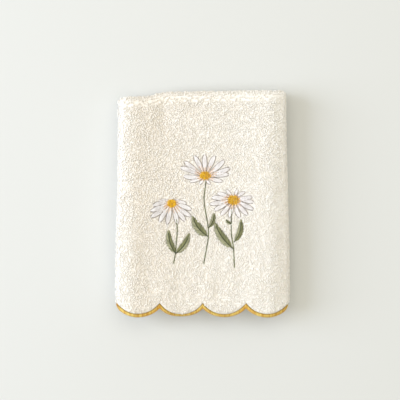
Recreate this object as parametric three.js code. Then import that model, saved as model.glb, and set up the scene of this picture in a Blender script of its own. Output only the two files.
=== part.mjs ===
// A face towel of cotton terry, folded as it lies on a shelf.
// The cloth is first folded in three across its width, like a letter, with the middle third in front.
// That packet of three layers is then folded back and forth in four along its length.
// One short end has a scalloped hem with a satin-stitched binding. It lies on top, towards -Y.
// Millimetres, +Z up. The towel lies on z = 0, with X across it and Y along it.

import * as THREE from "three";

// The cut cloth
const SCALLOPS = 12;
const SCALLOP_WIDTH = 500 / SCALLOPS;
const SCALLOP_DEPTH = 10.5;
const CLOTH_THICKNESS = 2.4;

// The binding, a rounded cord of stitches along the scalloped edge
const BINDING_WIDTH = 3.3;
const BINDING_THICKNESS = 2.0;
const BINDING_SIDES = 8;
const STITCH_GAP = 0.5;

// The fold across: three layers, with the front panel four scallops wide
const LAYER_PITCH = 3.1;
const FRONT_HALF = 2 * SCALLOP_WIDTH;
const LEFT_NOSE_RADIUS = LAYER_PITCH / 2;
const RIGHT_NOSE_RADIUS = LAYER_PITCH;
const LEFT_CREASE_X = -FRONT_HALF + (LEFT_NOSE_RADIUS * Math.PI) / 2;
const RIGHT_CREASE_X = FRONT_HALF - (RIGHT_NOSE_RADIUS * Math.PI) / 2;
const INNER_SELVEDGE_X = RIGHT_CREASE_X - 1;
const BACK_SELVEDGE_X = LEFT_CREASE_X - 1;

// The fold along: four packets, one on another
const PACKETS = 4;
const PACKET_PITCH = 9.5;
const PACKET_THICKNESS = 2 * LAYER_PITCH + CLOTH_THICKNESS;
const CREASE_RADIUS = PACKET_PITCH / 2;
const NOSE_REACH = CREASE_RADIUS + PACKET_THICKNESS / 2;
const STACK_HEIGHT = (PACKETS - 1) * PACKET_PITCH + PACKET_THICKNESS;

// Places along Y
const FOLDED_LENGTH = 217.5;
const BACK_Y = FOLDED_LENGTH / 2;
const SCALLOP_TIP_Y = -FOLDED_LENGTH / 2 + STITCH_GAP + BINDING_WIDTH;
const FRONT_NOSE_SETBACK = 12;
const PLAIN_HEM_SETBACK = 11;
const BACK_CREASE_Y = BACK_Y - NOSE_REACH;
const FRONT_CREASE_Y = SCALLOP_TIP_Y + FRONT_NOSE_SETBACK + NOSE_REACH;

// Each fold line's width and sideways shift. The top packet is narrower, most of all at the back.
const FOLD_LINES = [
  { at: "scalloped hem", width: 1.0, shift: 0.0 },
  { at: "first back nose", width: 0.958, shift: 0.3 },
  { at: "front nose", width: 1.003, shift: 1.0 },
  { at: "second back nose", width: 0.98, shift: -0.4 },
  { at: "plain hem", width: 1.01, shift: 0.8 },
];

// How steeply the edge of the hem hangs, past the fold below that carries it
const HEM_TILTS = [
  { at: "left fold", x: -84, degrees: 5 },
  { at: "first scallop", x: -60, degrees: 8 },
  { at: "second scallop", x: -20, degrees: 42 },
  { at: "third scallop", x: 22, degrees: 29 },
  { at: "fourth scallop", x: 60, degrees: 13 },
  { at: "right fold", x: 84, degrees: 10 },
];

// Swells and hollows of the top, where the folds spring open and where the pile sits full or slack
const SWELLS = [
  { at: "left ridge", x: -75, y: -5, rise: 5.2, halfWidth: 32, halfLength: 150 },
  { at: "right ridge", x: 68, y: -5, rise: 5.4, halfWidth: 33, halfLength: 150 },
  { at: "back middle", x: 8, y: 84, rise: 1.0, halfWidth: 30, halfLength: 24 },
  { at: "back right corner", x: 72, y: 103, rise: 1.6, halfWidth: 16, halfLength: 18 },
  { at: "back left hollow", x: -38, y: 90, rise: -1.5, halfWidth: 10, halfLength: 30 },
  { at: "front left hollow", x: -54, y: -56, rise: -1.1, halfWidth: 9, halfLength: 30 },
  { at: "front left roll", x: -36, y: -62, rise: 0.7, halfWidth: 11, halfLength: 26 },
  { at: "front middle roll", x: 12, y: -80, rise: 0.8, halfWidth: 16, halfLength: 22 },
];
// The side folds are rounded off downwards, from this far off the middle to this far
const SHOULDERS = [
  { at: "left side", side: -1, from: 67, to: 88, drop: 5.5 },
  { at: "right side", side: 1, from: 62, to: 86, drop: 8 },
];
const SWELL_DEPTH_POWER = 1.5;
// The back edge slants a little, and its left corner lies further forward, from this far left on
const BACK_EDGE_SLANT = 0.015;
const BACK_CORNER = { from: 36, to: 56, setback: 4.2 };

// How finely the solid follows the cloth
const STEPS_PER_SCALLOP = 6;
const STEPS_PER_SCALLOP_IN_BODY = 2;
const SHOULDER_STEPS_FROM = 60;
const SIDE_NOSE_STEPS = 6;
const CREASE_STEPS = 6;
const ROWS_PER_PACKET = 7;
const HEM_ROWS = 3;
const HANG_STEPS = 8;

const { lerp, smoothstep, degToRad } = THREE.MathUtils;

// The scalloped edge, or a line a given distance outside it, as y for a place u across the cut cloth.
// Each scallop is one circular arc, and the arcs meet in points.
const SCALLOP_RADIUS = ((SCALLOP_WIDTH / 2) ** 2 + SCALLOP_DEPTH ** 2) / (2 * SCALLOP_DEPTH);
function scallopY(u, outside = 0) {
  const fromCentre = (THREE.MathUtils.euclideanModulo(u / SCALLOP_WIDTH, 1) - 0.5) * SCALLOP_WIDTH;
  return SCALLOP_TIP_Y + SCALLOP_RADIUS - Math.sqrt((SCALLOP_RADIUS + outside) ** 2 - fromCentre ** 2);
}

// The packet's section across the fold in three, as stations from the inner selvedge to the back one.
// A station has its place x and height w in the packet, the way its right side faces as nx and nw,
// its place u across the cut cloth, and which way x runs there. A station of the body is in every row.
function stationsAcross() {
  const columns = [];
  const stepsAcross = Math.round((2 * FRONT_HALF * STEPS_PER_SCALLOP) / SCALLOP_WIDTH);
  for (let k = 1; k < stepsAcross; k++) {
    const x = lerp(-FRONT_HALF, FRONT_HALF, k / stepsAcross);
    const everyRow = k % (STEPS_PER_SCALLOP / STEPS_PER_SCALLOP_IN_BODY) === 0;
    columns.push({ x, inBody: everyRow || Math.abs(x) > SHOULDER_STEPS_FROM });
  }
  const between = (low, high) => columns.filter(({ x }) => x > low + 0.5 && x < high - 0.5);
  const leftwards = (low, high) => between(low, high).reverse();
  const leftEndU = LEFT_CREASE_X - LEFT_NOSE_RADIUS * Math.PI;
  const rightEndU = RIGHT_CREASE_X + RIGHT_NOSE_RADIUS * Math.PI;
  const front = (at) => ({ ...at, w: LAYER_PITCH, nx: 0, nw: 1, u: at.x, runs: 1 });
  const inner = (at) => ({ ...at, w: 0, nx: 0, nw: -1, u: leftEndU + LEFT_CREASE_X - at.x, runs: -1 });
  const back = (at) => ({ ...inner(at), w: -LAYER_PITCH, u: rightEndU + RIGHT_CREASE_X - at.x });
  const turns = [...Array(SIDE_NOSE_STEPS + 1).keys()].map((k) => Math.PI * (0.5 - k / SIDE_NOSE_STEPS));
  const leftCrease = [LEFT_CREASE_X, LAYER_PITCH / 2, LEFT_NOSE_RADIUS];
  const rightCrease = [RIGHT_CREASE_X, 0, RIGHT_NOSE_RADIUS];

  const stations = [
    inner({ x: INNER_SELVEDGE_X, inBody: true }),
    ...leftwards(LEFT_CREASE_X, INNER_SELVEDGE_X).map(inner),
    ...turns.map((turn) => noseStation(...leftCrease, turn + Math.PI, Math.PI)),
    ...between(LEFT_CREASE_X, RIGHT_CREASE_X).map(front),
    ...turns.map((turn) => noseStation(...rightCrease, turn, 0)),
    ...leftwards(BACK_SELVEDGE_X, RIGHT_CREASE_X).map(back),
    back({ x: BACK_SELVEDGE_X, inBody: true }),
  ];
  stations.forEach((station, order) => (station.order = order));
  return stations;
}

// One station on a rounded side of the packet, where the cloth turns under.
// The side's outermost line is a point between two scallops.
function noseStation(creaseX, creaseW, radius, turn, outermostTurn) {
  const pointU = Math.sign(creaseX) * FRONT_HALF;
  return {
    x: creaseX,
    w: creaseW,
    reach: radius,
    nx: Math.cos(turn),
    nw: Math.sin(turn),
    u: pointU + (outermostTurn - turn) * radius,
    runs: Math.sin(turn) >= 0 ? 1 : -1,
    inBody: true,
  };
}

// The packet's path back and forth, as rows from the scalloped hem to the plain one.
// A row holds the middle of its packet, the direction that the packet's top faces, and which way y runs.
function rowsAlong() {
  const rows = [];
  const heightOf = (packet) => STACK_HEIGHT - PACKET_THICKNESS / 2 - packet * PACKET_PITCH;
  const flatRow = (packet, y, extra = {}) => {
    const runs = packet % 2 === 0 ? 1 : -1;
    rows.push({ packet, yAt: () => y, z: heightOf(packet), upY: 0, upZ: runs, runs, ...extra });
  };
  const latticeY = (k) => lerp(FRONT_CREASE_Y, BACK_CREASE_Y, k / ROWS_PER_PACKET);

  for (let k = 0; k <= HEM_ROWS; k++) {
    const hemY = (station) => lerp(scallopY(station.u), FRONT_CREASE_Y, k / HEM_ROWS);
    flatRow(0, FRONT_CREASE_Y, { yAt: hemY, fine: true });
  }
  for (let packet = 0; packet < PACKETS; packet++) {
    const towardsBack = packet % 2 === 0;
    for (let k = 1; k < ROWS_PER_PACKET; k++)
      flatRow(packet, latticeY(towardsBack ? k : ROWS_PER_PACKET - k), { fine: packet === 0 });
    if (packet === PACKETS - 1) {
      flatRow(packet, FRONT_CREASE_Y);
      flatRow(packet, SCALLOP_TIP_Y + PLAIN_HEM_SETBACK);
      continue;
    }
    const creaseY = towardsBack ? BACK_CREASE_Y : FRONT_CREASE_Y;
    const outward = towardsBack ? 1 : -1;
    for (let k = 0; k <= CREASE_STEPS; k++) {
      const turn = (Math.PI * k) / CREASE_STEPS;
      const y = creaseY + outward * CREASE_RADIUS * Math.sin(turn);
      rows.push({
        packet,
        yAt: () => y,
        z: heightOf(packet) - CREASE_RADIUS * (1 - Math.cos(turn)),
        upY: Math.sin(turn),
        upZ: outward * Math.cos(turn),
        runs: (k < CREASE_STEPS / 2 ? 1 : -1) * outward,
      });
    }
  }
  return rows;
}

// The fold lines' width and shift at a place along a packet.
function foldLineAt(packet, y) {
  const along = smoothstep(y, FRONT_CREASE_Y, BACK_CREASE_Y);
  const share = packet % 2 === 0 ? along : 1 - along;
  const [start, end] = [FOLD_LINES[packet], FOLD_LINES[packet + 1]];
  return { width: lerp(start.width, end.width, share), shift: lerp(start.shift, end.shift, share) };
}

function hemTiltAt(x) {
  const next = HEM_TILTS.findIndex((place) => place.x > x);
  if (next === 0) return degToRad(HEM_TILTS[0].degrees);
  if (next < 0) return degToRad(HEM_TILTS.at(-1).degrees);
  const [from, to] = [HEM_TILTS[next - 1], HEM_TILTS[next]];
  return degToRad(lerp(from.degrees, to.degrees, smoothstep(x, from.x, to.x)));
}

// The top packet past the front nose hangs in a curve that steepens towards its edge.
// Takes a place along the hem, returns where it hangs and which way the packet's top faces there.
function hang(y, z, x) {
  const length = FRONT_CREASE_Y - y;
  const reach = FRONT_CREASE_Y - SCALLOP_TIP_Y;
  const tiltAt = (distance) => hemTiltAt(x) * (distance / reach) ** 2;
  const hung = { y: FRONT_CREASE_Y, z, upY: -Math.sin(tiltAt(length)), upZ: Math.cos(tiltAt(length)) };
  for (let k = 0; k < HANG_STEPS; k++) {
    const tilt = tiltAt(((k + 0.5) * length) / HANG_STEPS);
    hung.y -= (length / HANG_STEPS) * Math.cos(tilt);
    hung.z -= (length / HANG_STEPS) * Math.sin(tilt);
  }
  return hung;
}

// The unevenness of the real thing: one smooth map of space, so that the layers stay apart.
function settle(point) {
  const depth = Math.max(point.z, 0) / STACK_HEIGHT;
  let rise = 0;
  for (const { side, from, to, drop } of SHOULDERS) rise -= drop * smoothstep(side * point.x, from, to);
  for (const swell of SWELLS) {
    const across = (point.x - swell.x) / swell.halfWidth;
    const along = (point.y - swell.y) / swell.halfLength;
    rise += swell.rise * Math.exp(-across * across - along * along);
  }
  const backShare = smoothstep(point.y, 0.4 * SCALLOP_TIP_Y, BACK_Y);
  point.z += rise * depth ** SWELL_DEPTH_POWER;
  const cornerShare = smoothstep(-point.x, BACK_CORNER.from, BACK_CORNER.to);
  point.y += (point.x * BACK_EDGE_SLANT - BACK_CORNER.setback * cornerShare) * backShare;
  return point;
}

// A point of the folded towel: a station across, a row along, and a height above the cloth's middle.
// The row's own y may be replaced by another, such as one along the binding.
function foldedPoint(station, row, height, y = row.yAt(station)) {
  const { width, shift } = foldLineAt(row.packet, y);
  const outward = (station.reach ?? 0) + height;
  const x = station.x * width + shift + outward * station.nx;
  const w = station.w + outward * station.nw;
  const hangs = row.packet === 0 && y < FRONT_CREASE_Y;
  const middle = hangs ? hang(y, row.z, x) : { y, z: row.z, upY: row.upY, upZ: row.upZ };
  return settle(new THREE.Vector3(x, middle.y + w * middle.upY, middle.z + w * middle.upZ));
}

// Collects points and triangles of one closed body.
class Skin {
  constructor() {
    this.positions = [];
    this.triangles = [];
  }
  add(point) {
    this.positions.push(point.x, point.y, point.z);
    return this.positions.length / 3 - 1;
  }
  triangle(a, b, c, turned = false) {
    if (turned) this.triangles.push(a, c, b);
    else this.triangles.push(a, b, c);
  }
  quad(a, b, c, d) {
    this.triangle(a, b, c);
    this.triangle(a, c, d);
  }
  geometry() {
    const geometry = new THREE.BufferGeometry();
    geometry.setAttribute("position", new THREE.Float32BufferAttribute(this.positions, 3));
    geometry.setIndex(this.triangles);
    geometry.computeVertexNormals();
    return geometry;
  }
}

// Fills the strip between two rows of points, where one row may have more stations than the other.
// Where both have the next station, the diagonal runs the same way in plan on every layer,
// so that layers lying on each other bend along the same lines.
function fillStrip(skin, near, far, turned) {
  let i = 0;
  let j = 0;
  while (i < near.length - 1 || j < far.length - 1) {
    const nextNear = near[i + 1];
    const nextFar = far[j + 1];
    const both = nextNear && nextFar;
    const nearFirst = both && nextNear.order < nextFar.order;
    const level = both && nextNear.order === nextFar.order;
    if (!nextFar || nearFirst || (level && near[i].inPlan > 0)) {
      skin.triangle(near[i].id, nextNear.id, far[j].id, turned);
      i++;
    } else {
      skin.triangle(near[i].id, nextFar.id, far[j].id, turned);
      j++;
    }
  }
}

function clothGeometry() {
  const skin = new Skin();
  const stations = stationsAcross();
  const heights = { face: CLOTH_THICKNESS / 2, back: -CLOTH_THICKNESS / 2 };
  const pointsOf = (row, height) =>
    stations
      .filter((station) => row.fine || station.inBody)
      .map((station) => ({
        id: skin.add(foldedPoint(station, row, height)),
        order: station.order,
        inPlan: station.runs * row.runs,
      }));
  const rows = rowsAlong().map((row) => ({
    face: pointsOf(row, heights.face),
    back: pointsOf(row, heights.back),
  }));
  for (let r = 0; r + 1 < rows.length; r++) {
    const [here, next] = [rows[r], rows[r + 1]];
    fillStrip(skin, here.face, next.face, false);
    fillStrip(skin, here.back, next.back, true);
    skin.quad(here.face[0].id, next.face[0].id, next.back[0].id, here.back[0].id);
    skin.quad(here.face.at(-1).id, here.back.at(-1).id, next.back.at(-1).id, next.face.at(-1).id);
  }
  closeEnd(skin, rows[0], false);
  closeEnd(skin, rows.at(-1), true);
  return skin.geometry();
}

// The cut end of the sheet, between its two faces.
function closeEnd(skin, { face, back }, turned) {
  for (let k = 0; k + 1 < face.length; k++) {
    skin.triangle(face[k].id, back[k].id, back[k + 1].id, turned);
    skin.triangle(face[k].id, back[k + 1].id, face[k + 1].id, turned);
  }
}

// The binding: a rounded section carried along the whole scalloped edge, through both side folds.
function bindingGeometry() {
  const skin = new Skin();
  const [hemRow] = rowsAlong();
  const centreOutside = STITCH_GAP + BINDING_WIDTH / 2;
  const cornerReach = 0.5 / Math.cos(Math.PI / BINDING_SIDES);
  const rings = stationsAcross().map((station) => {
    const ring = [];
    for (let k = 0; k < BINDING_SIDES; k++) {
      const turn = (2 * Math.PI * (k + 0.5)) / BINDING_SIDES;
      const outside = centreOutside + BINDING_WIDTH * cornerReach * Math.cos(turn);
      const height = BINDING_THICKNESS * cornerReach * Math.sin(turn);
      ring.push(skin.add(foldedPoint(station, hemRow, height, scallopY(station.u, outside))));
    }
    return ring;
  });
  for (let r = 0; r + 1 < rings.length; r++) {
    for (let k = 0; k < BINDING_SIDES; k++) {
      const next = (k + 1) % BINDING_SIDES;
      skin.quad(rings[r][k], rings[r + 1][k], rings[r + 1][next], rings[r][next]);
    }
  }
  const [first, last] = [rings[0], rings.at(-1)];
  for (let k = 1; k + 1 < BINDING_SIDES; k++) {
    skin.triangle(first[0], first[k], first[k + 1]);
    skin.triangle(last[0], last[k + 1], last[k]);
  }
  return skin.geometry();
}

function makePiece(name, geometry, material) {
  const mesh = new THREE.Mesh(geometry, material);
  mesh.name = name;
  return mesh;
}

const terry = new THREE.MeshStandardMaterial({ color: "#f4efe3", roughness: 0.95, metalness: 0 });
const satinStitch = new THREE.MeshStandardMaterial({ color: "#e0a52c", roughness: 0.55, metalness: 0 });

const towel = new THREE.Group();
towel.add(makePiece("towel_cloth", clothGeometry(), terry));
towel.add(makePiece("scallop_binding", bindingGeometry(), satinStitch));

// The origin is the middle of the space that the towel takes, at its lowest level.
const space = new THREE.Box3().setFromObject(towel);
const middle = space.getCenter(new THREE.Vector3());
towel.position.set(-middle.x, -middle.y, -space.min.z);

export default towel;
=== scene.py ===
# %% [markdown]
# # A folded face towel
#
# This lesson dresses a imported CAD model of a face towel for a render: cream cotton terry,
# a scalloped hem edged in gold thread, and three embroidered daisies.
#
# The model is loaded first, as a fixed frame. Its solids never move. Each piece made below either
# takes the place of a solid or lies on it, so the towel keeps its real size.

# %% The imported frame
import math

import bpy
import numpy as np
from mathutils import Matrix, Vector
from mathutils.kdtree import KDTree


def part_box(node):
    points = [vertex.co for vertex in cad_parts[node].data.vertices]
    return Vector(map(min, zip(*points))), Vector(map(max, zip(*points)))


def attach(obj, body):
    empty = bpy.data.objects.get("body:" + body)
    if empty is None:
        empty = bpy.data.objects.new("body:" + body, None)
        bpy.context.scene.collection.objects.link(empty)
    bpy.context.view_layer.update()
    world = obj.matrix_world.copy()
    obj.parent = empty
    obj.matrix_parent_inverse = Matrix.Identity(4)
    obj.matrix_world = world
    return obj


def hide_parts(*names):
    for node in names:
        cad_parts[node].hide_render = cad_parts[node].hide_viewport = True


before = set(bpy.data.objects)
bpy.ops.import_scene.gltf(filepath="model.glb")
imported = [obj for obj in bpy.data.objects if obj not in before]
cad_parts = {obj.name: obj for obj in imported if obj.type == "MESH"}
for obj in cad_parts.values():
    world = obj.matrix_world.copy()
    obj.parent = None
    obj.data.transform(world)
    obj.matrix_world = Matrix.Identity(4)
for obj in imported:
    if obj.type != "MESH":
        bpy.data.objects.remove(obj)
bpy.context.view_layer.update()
print("solids:", sorted(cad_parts))

# %% [markdown]
# ## The cloth's sizes
#
# On the real towel everything follows from the cut: twelve scallops across half a metre, folded in
# three so that four of them face front, then back and forth in four along its length.
# These are the CAD source's own sizes, in millimetres, so that the fine cloth folds where its
# solid does.

# %% Sizes of the cloth and its folds
MM = 0.001
TOWEL_WIDTH = 500
SCALLOPS = 12
SCALLOP_WIDTH = TOWEL_WIDTH / SCALLOPS
SCALLOP_DEPTH = 10.5
SCALLOP_RADIUS = ((SCALLOP_WIDTH / 2) ** 2 + SCALLOP_DEPTH**2) / (2 * SCALLOP_DEPTH)
SELVEDGE_SETBACK = 1
CLOTH_THICKNESS = 2.4
EDGING_WIDTH = 3.3
STITCH_GAP = 0.5
LAYER_PITCH = 3.1
PACKET_PITCH = 9.5
PACKETS = 4
FOLDED_LENGTH = 217.5
FRONT_NOSE_SETBACK = 12
PLAIN_HEM_SETBACK = 11

FRONT_HALF = 2 * SCALLOP_WIDTH
LEFT_RADIUS = LAYER_PITCH / 2
RIGHT_RADIUS = LAYER_PITCH
LEFT_CREASE_X = -FRONT_HALF + LEFT_RADIUS * math.pi / 2
RIGHT_CREASE_X = FRONT_HALF - RIGHT_RADIUS * math.pi / 2
LEFT_START = LEFT_CREASE_X - LEFT_RADIUS * math.pi
RIGHT_END = RIGHT_CREASE_X + RIGHT_RADIUS * math.pi
INNER_SELVEDGE = LEFT_START + LEFT_CREASE_X - (RIGHT_CREASE_X - SELVEDGE_SETBACK)
BACK_SELVEDGE = RIGHT_END + RIGHT_CREASE_X - (LEFT_CREASE_X - SELVEDGE_SETBACK)

PACKET_THICKNESS = 2 * LAYER_PITCH + CLOTH_THICKNESS
CREASE_RADIUS = PACKET_PITCH / 2
NOSE_REACH = CREASE_RADIUS + PACKET_THICKNESS / 2
STACK_HEIGHT = (PACKETS - 1) * PACKET_PITCH + PACKET_THICKNESS
BACK_Y = FOLDED_LENGTH / 2
TIP_Y = -FOLDED_LENGTH / 2 + STITCH_GAP + EDGING_WIDTH
BACK_CREASE_Y = BACK_Y - NOSE_REACH
FRONT_CREASE_Y = TIP_Y + FRONT_NOSE_SETBACK + NOSE_REACH
RUN = BACK_CREASE_Y - FRONT_CREASE_Y
ARC = math.pi * CREASE_RADIUS
PERIOD = RUN + ARC
LAST_PACKET_S = (PACKETS - 1) * PERIOD
PLAIN_END = LAST_PACKET_S + BACK_CREASE_Y - TIP_Y - PLAIN_HEM_SETBACK

# %% [markdown]
# ## The fold, as a map
#
# Folding could be simulated, but a towel folded by hand is so regular that a map does it better:
# it takes a place on the flat cloth, u across and s along, and gives its place in the folded stack.
# Two bends follow each other. The first folds the width in three, the second folds that packet
# in four. A third step settles the stack, with swells and hollows put where the real one has them.

# %% Folding in three across
def across(u):
    """Place x, height w and the way the right side faces, for a place u across the cut cloth."""
    left_turn = 1.5 * np.pi - (u - LEFT_START) / LEFT_RADIUS
    right_turn = 0.5 * np.pi - (u - RIGHT_CREASE_X) / RIGHT_RADIUS
    parts = [u < LEFT_START, u < LEFT_CREASE_X, u < RIGHT_CREASE_X, u < RIGHT_END]
    x = np.select(
        parts,
        [LEFT_CREASE_X + LEFT_START - u, LEFT_CREASE_X, u, RIGHT_CREASE_X],
        RIGHT_CREASE_X + RIGHT_END - u,
    )
    w = np.select(parts, [0, LAYER_PITCH / 2, LAYER_PITCH, 0], -LAYER_PITCH)
    reach = np.select(parts, [0, LEFT_RADIUS, 0, RIGHT_RADIUS], 0)
    turn = np.select(parts, [-0.5 * np.pi, left_turn, 0.5 * np.pi, right_turn], -0.5 * np.pi)
    return x, w, reach, np.cos(turn), np.sin(turn)


print(f"the side folds turn on radii of {LEFT_RADIUS:.2f} and {RIGHT_RADIUS:.2f} mm")


# %% Folding back and forth along
def along(s):
    """The packet at s past the first front line, its middle's place y, z and its top's way y, z."""
    packet = np.clip(np.floor(s / PERIOD), 0, PACKETS - 1).astype(int)
    run = s - packet * PERIOD
    outward = np.where(packet % 2 == 0, 1, -1)
    turn = np.where(packet < PACKETS - 1, np.clip((run - RUN) / CREASE_RADIUS, 0, np.pi), 0)
    start = np.where(outward > 0, FRONT_CREASE_Y, BACK_CREASE_Y)
    straight = np.where(packet < PACKETS - 1, np.minimum(run, RUN), run)
    y = start + outward * (straight + CREASE_RADIUS * np.sin(turn))
    top_middle = STACK_HEIGHT - PACKET_THICKNESS / 2
    z = top_middle - packet * PACKET_PITCH - CREASE_RADIUS * (1 - np.cos(turn))
    return packet, y, z, np.sin(turn), outward * np.cos(turn)


print(f"the {PACKETS - 1} folds across turn on a radius of {CREASE_RADIUS:.2f} mm")

# %% How uneven the real one is
# The width and sideways shift at each fold line, from the scalloped hem to the plain one.
FOLD_WIDTHS = np.array([1.0, 0.958, 1.003, 0.98, 1.01])
FOLD_SHIFTS = np.array([0.0, 0.3, 1.0, -0.4, 0.8])
# How steeply the hem hangs at some places across it.
HEM_TILT_X = np.array([-84, -60, -20, 22, 60, 84])
HEM_TILT_DEGREES = np.array([5, 8, 42, 29, 13, 10])
SWELLS = [
    # x, y, rise, half width, half length
    (-75, -5, 5.2, 32, 150),
    (68, -5, 5.4, 33, 150),
    (8, 84, 1.0, 30, 24),
    (72, 103, 1.6, 16, 18),
    (-38, 90, -1.5, 10, 30),
    (-54, -56, -1.1, 9, 30),
    (-36, -62, 0.7, 11, 26),
    (12, -80, 0.8, 16, 22),
]
CREASES = [
    # The soft narrow creases and rolls that only the fine cloth shows, in the same order
    (-38, 92, -1.4, 3.4, 20),
    (-51, -76, -1.0, 5, 15),
    (-34, -84, 0.8, 7, 16),
    (-22, -80, -0.8, 5, 13),
    (4, -84, 0.8, 7, 15),
    (16, -82, -0.8, 5, 13),
    (37, -70, -0.9, 6, 20),
    (53, -80, 0.8, 7, 18),
]
SHOULDERS = [
    # side, from, to, drop
    (-1, 67, 88, 5.5),
    (1, 62, 86, 8),
]
SWELL_DEPTH_POWER = 1.5
BACK_SHIFT_FROM = 0.4
BACK_EDGE_SLANT = 0.015
BACK_CORNER_FROM, BACK_CORNER_TO, BACK_CORNER_SETBACK = 36, 56, 4.2
HANG_STEPS = 8
print(f"{len(SWELLS)} broad swells and hollows, {len(CREASES)} narrow creases")


# %% Settling the stack
def smooth_step(value, low, high):
    share = np.clip((value - low) / (high - low), 0, 1)
    return share * share * (3 - 2 * share)


def hem_tilt(x):
    """How steeply the hem hangs at x, in radians."""
    left = np.clip(np.searchsorted(HEM_TILT_X, x, side="right") - 1, 0, len(HEM_TILT_X) - 2)
    share = smooth_step(x, HEM_TILT_X[left], HEM_TILT_X[left + 1])
    low, high = HEM_TILT_DEGREES[left], HEM_TILT_DEGREES[left + 1]
    return np.radians(low + (high - low) * share)


def hang(y, z, x):
    """The hem past the front fold bends down, more steeply towards its edge."""
    length = np.maximum(FRONT_CREASE_Y - y, 0)
    steepest = hem_tilt(x)
    hung_y = np.full_like(length, FRONT_CREASE_Y)
    hung_z = z
    for step in range(HANG_STEPS):
        middle = (step + 0.5) * length / HANG_STEPS
        tilt = steepest * (middle / (FRONT_CREASE_Y - TIP_Y)) ** 2
        hung_y = hung_y - length / HANG_STEPS * np.cos(tilt)
        hung_z = hung_z - length / HANG_STEPS * np.sin(tilt)
    tilt = steepest * (length / (FRONT_CREASE_Y - TIP_Y)) ** 2
    return hung_y, hung_z, -np.sin(tilt), np.cos(tilt)


def settle(x, y, z):
    """Lifts and shifts the whole stack smoothly, so that its layers stay apart."""
    depth = np.maximum(z, 0) / STACK_HEIGHT
    rise = sum(
        peak * np.exp(-(((x - cx) / half_width) ** 2) - ((y - cy) / half_length) ** 2)
        for cx, cy, peak, half_width, half_length in SWELLS + CREASES
    )
    for side, start, end, drop in SHOULDERS:
        rise = rise - drop * smooth_step(side * x, start, end)
    back_share = smooth_step(y, BACK_SHIFT_FROM * TIP_Y, BACK_Y)
    corner_share = smooth_step(-x, BACK_CORNER_FROM, BACK_CORNER_TO)
    back_shift = (x * BACK_EDGE_SLANT - BACK_CORNER_SETBACK * corner_share) * back_share
    return np.stack([x, y + back_shift, z + rise * depth**SWELL_DEPTH_POWER], axis=-1)


print(f"the hem hangs at {min(HEM_TILT_DEGREES)} to {max(HEM_TILT_DEGREES)} degrees")

# %% The whole map
def fold(u, s, height):
    """The folded place of the flat cloth's point u, s, at a height over the cloth's middle."""
    u, s, height = np.broadcast_arrays(np.asarray(u, float), np.asarray(s, float), height)
    flat_x, w, reach, nx, nw = across(u)
    packet, y, z, up_y, up_z = along(s)
    share = smooth_step(y, FRONT_CREASE_Y, BACK_CREASE_Y)
    share = np.where(packet % 2 == 0, share, 1 - share)
    width = FOLD_WIDTHS[packet] + (FOLD_WIDTHS[packet + 1] - FOLD_WIDTHS[packet]) * share
    shift = FOLD_SHIFTS[packet] + (FOLD_SHIFTS[packet + 1] - FOLD_SHIFTS[packet]) * share
    x = flat_x * width + shift + (reach + height) * nx
    w = w + (reach + height) * nw
    hung_y, hung_z, hung_up_y, hung_up_z = hang(y, z, x)
    hangs = s < 0
    y, z = np.where(hangs, hung_y, y), np.where(hangs, hung_z, z)
    up_y, up_z = np.where(hangs, hung_up_y, up_y), np.where(hangs, hung_up_z, up_z)
    return settle(x, y + w * up_y, z + w * up_z)


def hem_s(u):
    """Where the scalloped edge lies along s: circular arcs that meet in points."""
    from_centre = (np.mod(u / SCALLOP_WIDTH, 1) - 0.5) * SCALLOP_WIDTH
    edge_y = TIP_Y + SCALLOP_RADIUS - np.sqrt(SCALLOP_RADIUS**2 - from_centre**2)
    return edge_y - FRONT_CREASE_Y


half_scallop = SCALLOP_WIDTH / 2
print("the scallop right of the middle reaches", np.round(fold(half_scallop, hem_s(half_scallop), 0), 1))

# %% Seating the map in the CAD solid's box
# The map's box is measured on its own points. Only its middle moves, since both stand on the floor.
PROBE_COLUMNS, PROBE_ROWS = 400, 1200
low, high = (np.array(corner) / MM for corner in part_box("towel_cloth"))
probe_u, probe_s = np.meshgrid(
    np.linspace(INNER_SELVEDGE, BACK_SELVEDGE, PROBE_COLUMNS), np.linspace(0, PLAIN_END, PROBE_ROWS)
)
hem_u = np.linspace(INNER_SELVEDGE, BACK_SELVEDGE, PROBE_ROWS)
probe = np.concatenate(
    [fold(probe_u, probe_s, side * CLOTH_THICKNESS / 2).reshape(-1, 3) for side in (1, -1)]
    + [fold(hem_u, hem_s(hem_u), side * CLOTH_THICKNESS / 2) for side in (1, -1)]
)
SEAT = (low + high) / 2 - (probe.min(axis=0) + probe.max(axis=0)) / 2
SEAT[2] = 0.0
print("map against the solid's box, mm:", np.round(probe.max(0) - probe.min(0) - (high - low), 2))


def folded(u, s, height):
    """The same place in the shared frame, in metres."""
    return (fold(u, s, height) + SEAT) * MM


# %% [markdown]
# ## Meshes and materials
#
# A few helpers serve every piece. A mesh is made from arrays of points and faces. A material is
# built by one small function that adds a node with its settings and links, so that each recipe
# below reads as a list. Colours are written as the sRGB hex values a paint chart gives, and one
# function turns them to the linear light that the shaders use.

# %% Helpers
def linear(hex_colour):
    """Linear RGBA from an sRGB hex value."""
    channels = [int(hex_colour[i : i + 2], 16) / 255 for i in (1, 3, 5)]
    return [c / 12.92 if c <= 0.04045 else ((c + 0.055) / 1.055) ** 2.4 for c in channels] + [1.0]


def add_node(tree, kind, inputs=None, **settings):
    """Adds a node. An input is a value, or an output socket of another node to link from."""
    node = tree.nodes.new(kind)
    for name, value in settings.items():
        setattr(node, name, value)
    for key, value in (inputs or {}).items():
        socket = node.inputs[key]
        if isinstance(value, bpy.types.NodeSocket):
            tree.links.new(value, socket)
        else:
            socket.default_value = value
    return node


def new_material(name):
    material = bpy.data.materials.new(name)
    material.use_nodes = True
    material.node_tree.nodes.clear()
    return material, material.node_tree


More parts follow.
